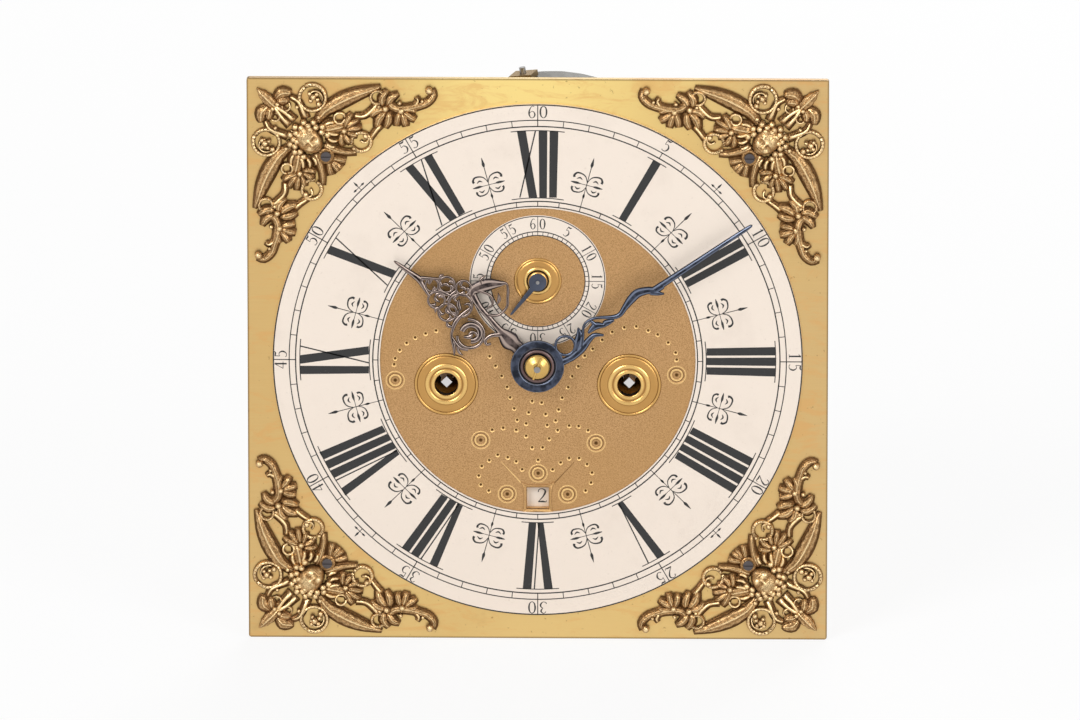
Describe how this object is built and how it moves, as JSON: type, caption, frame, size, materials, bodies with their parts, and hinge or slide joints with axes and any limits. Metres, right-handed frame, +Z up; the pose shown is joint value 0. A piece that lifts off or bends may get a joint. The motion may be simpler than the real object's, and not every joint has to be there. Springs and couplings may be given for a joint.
{
  "type": "longcase clock movement with dial",
  "caption": "Square brass longcase clock dial with applied rings, corner ornaments and three hands on a weight-driven striking movement with a bell.",
  "frame": {"origin": "middle of the front plate's bottom edge, on the face that stands on the seatboard", "axes": "+X to the right as the dial is seen, +Y from the dial into the clock, +Z up"},
  "size_m": [0.254, 0.1359, 0.254],
  "materials": {
    "brass_plate": "scraped and lightly tarnished",
    "gilt": "cast, gilt",
    "silvered": "silvered brass, matt",
    "wheel_brass": "turned and cut",
    "steel": "polished",
    "blued_steel": "blued",
    "hand_steel": "pierced and filed, browned",
    "bell_metal": "cast, grey"
  },
  "bodies": {
    "movement": {"front_plate": "brass_plate", "back_plate": "brass_plate", "pillars": "brass_plate", "taper_pins": "steel", "movement_screws": "steel", "dial_plate": "brass_plate", "chapter_ring": "silvered", "seconds_ring": "silvered", "spandrel_top_left": "gilt", "spandrel_top_right": "gilt", "spandrel_bottom_left": "gilt", "spandrel_bottom_right": "gilt", "spandrel_screws": "steel", "dial_feet": "brass_plate", "date_rollers": "brass_plate", "hour_bridge": "brass_plate", "back_cock": "brass_plate", "bell_stand": "steel", "bell": "bell_metal", "bell_nut": "brass_plate"},
    "date_ring": {"date_ring": "silvered"},
    "centre": {"centre_arbor": "steel", "centre_wheel": "wheel_brass", "hand_spring": "wheel_brass", "cannon_wheel": "wheel_brass", "minute_hand": "blued_steel", "hand_collet": "wheel_brass"},
    "minute": {"minute_wheel": "wheel_brass"},
    "hour": {"hour_wheel": "wheel_brass", "hour_hand": "hand_steel"},
    "date": {"date_wheel": "wheel_brass"},
    "going_great": {"going_great_wheel": "wheel_brass"},
    "going_click": {"going_click": "steel"},
    "going_winding": {"going_barrel": "wheel_brass", "going_arbor": "steel"},
    "third": {"third_arbor": "steel", "third_wheel": "wheel_brass"},
    "escape": {"escape_arbor": "steel", "escape_wheel": "wheel_brass", "seconds_hand": "blued_steel"},
    "anchor": {"pallet_arbor": "steel", "anchor": "steel", "crutch": "steel"},
    "strike_great": {"strike_great_wheel": "wheel_brass"},
    "strike_click": {"strike_click": "steel"},
    "strike_winding": {"strike_barrel": "wheel_brass", "strike_arbor": "steel"},
    "pin": {"pin_arbor": "steel", "pin_wheel": "wheel_brass"},
    "hoop": {"hoop_arbor": "steel", "hoop_wheel": "wheel_brass"},
    "warning": {"warning_arbor": "steel", "warning_wheel": "wheel_brass"},
    "fly": {"fly_arbor": "steel", "fly": "wheel_brass"},
    "count": {"count_wheel": "wheel_brass"},
    "detent": {"detent": "steel"},
    "lifting_lever": {"lifting_lever": "steel"},
    "hammer": {"hammer": "steel"},
    "hammer_spring": {"hammer_spring": "steel"}
  },
  "joints": [
    {"name": "centre_turn", "type": "hinge", "parent": "movement", "child": "centre", "pos_m": [0, 0, 0.08], "axis": [0, 1, 0], "continuous": true},
    {"name": "going_great_turn", "type": "hinge", "parent": "movement", "child": "going_great", "pos_m": [0.04, 0, 0.069], "axis": [0, 1, 0], "continuous": true},
    {"name": "going_winding_turn", "type": "hinge", "parent": "going_great", "child": "going_winding", "pos_m": [0.04, 0, 0.069], "axis": [0, 1, 0], "continuous": true},
    {"name": "going_click_lift", "type": "hinge", "parent": "going_great", "child": "going_click", "pos_m": [0.04, 0, 0.0895], "axis": [0, 1, 0], "range_deg": [0, 8], "stiffness_Nm_per_rad": 0.02, "springref_deg": -11.46},
    {"name": "third_turn", "type": "hinge", "parent": "movement", "child": "third", "pos_m": [-0.01254, 0, 0.10103], "axis": [0, 1, 0], "continuous": true},
    {"name": "escape_turn", "type": "hinge", "parent": "movement", "child": "escape", "pos_m": [0, 0, 0.116], "axis": [0, 1, 0], "continuous": true},
    {"name": "minute_turn", "type": "hinge", "parent": "movement", "child": "minute", "pos_m": [-0.01966, 0, 0.06623], "axis": [0, 1, 0], "continuous": true},
    {"name": "hour_turn", "type": "hinge", "parent": "movement", "child": "hour", "pos_m": [0, 0, 0.08], "axis": [0, 1, 0], "continuous": true},
    {"name": "date_turn", "type": "hinge", "parent": "movement", "child": "date", "pos_m": [0, 0, 0.05192], "axis": [0, 1, 0], "continuous": true},
    {"name": "date_ring_turn", "type": "hinge", "parent": "movement", "child": "date_ring", "pos_m": [0, 0, 0.08], "axis": [0, 1, 0], "continuous": true},
    {"name": "anchor_swing", "type": "hinge", "parent": "movement", "child": "anchor", "pos_m": [0, 0, 0.14004], "axis": [0, 1, 0], "range_deg": [-2.5, 2.5]},
    {"name": "hoop_turn", "type": "hinge", "parent": "movement", "child": "hoop", "pos_m": [-0.01992, 0, 0.11958], "axis": [0, 1, 0], "continuous": true},
    {"name": "pin_turn", "type": "hinge", "parent": "movement", "child": "pin", "pos_m": [-0.03681, 0, 0.10541], "axis": [0, 1, 0], "continuous": true},
    {"name": "strike_great_turn", "type": "hinge", "parent": "movement", "child": "strike_great", "pos_m": [-0.04, 0, 0.069], "axis": [0, 1, 0], "continuous": true},
    {"name": "strike_winding_turn", "type": "hinge", "parent": "strike_great", "child": "strike_winding", "pos_m": [-0.04, 0, 0.069], "axis": [0, 1, 0], "continuous": true},
    {"name": "strike_click_lift", "type": "hinge", "parent": "strike_great", "child": "strike_click", "pos_m": [-0.04, 0, 0.0895], "axis": [0, 1, 0], "range_deg": [0, 8], "stiffness_Nm_per_rad": 0.02, "springref_deg": -11.46},
    {"name": "warning_turn", "type": "hinge", "parent": "movement", "child": "warning", "pos_m": [-0.03577, 0, 0.12873], "axis": [0, 1, 0], "continuous": true},
    {"name": "fly_turn", "type": "hinge", "parent": "movement", "child": "fly", "pos_m": [-0.02419, 0, 0.13846], "axis": [0, 1, 0], "continuous": true},
    {"name": "count_turn", "type": "hinge", "parent": "movement", "child": "count", "pos_m": [-0.04092, 0, 0.08212], "axis": [0, 1, 0], "continuous": true},
    {"name": "detent_lift", "type": "hinge", "parent": "movement", "child": "detent", "pos_m": [-0.055, 0, 0.1242], "axis": [0, 1, 0], "range_deg": [-4, 0.5]},
    {"name": "lifting_lever_lift", "type": "hinge", "parent": "movement", "child": "lifting_lever", "pos_m": [-0.038, 0, 0.094], "axis": [0, 1, 0], "range_deg": [-6, 0]},
    {"name": "hammer_swing", "type": "hinge", "parent": "movement", "child": "hammer", "pos_m": [-0.0695, 0, 0.1102], "axis": [0, 1, 0], "range_deg": [-12, 1], "stiffness_Nm_per_rad": 0.4, "springref_deg": 1.15},
    {"name": "hammer_spring_bend", "type": "hinge", "parent": "movement", "child": "hammer_spring", "pos_m": [-0.0661, 0, 0.0802], "axis": [0, 1, 0], "range_deg": [-0.5, 5]}
  ],
  "couplings": [
    {"joint": "going_great_turn", "follows": "centre_turn", "ratio": -0.083333},
    {"joint": "third_turn", "follows": "centre_turn", "ratio": -7.5},
    {"joint": "escape_turn", "follows": "centre_turn", "ratio": 60},
    {"joint": "minute_turn", "follows": "centre_turn", "ratio": -1},
    {"joint": "hour_turn", "follows": "centre_turn", "ratio": 0.083333},
    {"joint": "date_turn", "follows": "centre_turn", "ratio": -0.041667},
    {"joint": "pin_turn", "follows": "hoop_turn", "ratio": -0.125},
    {"joint": "strike_great_turn", "follows": "hoop_turn", "ratio": 0.012821},
    {"joint": "warning_turn", "follows": "hoop_turn", "ratio": -7.7143},
    {"joint": "fly_turn", "follows": "hoop_turn", "ratio": 52.898},
    {"joint": "count_turn", "follows": "hoop_turn", "ratio": 0.012821},
    {"joint": "hammer_spring_bend", "follows": "hammer_swing", "ratio": -0.4}
  ]
}
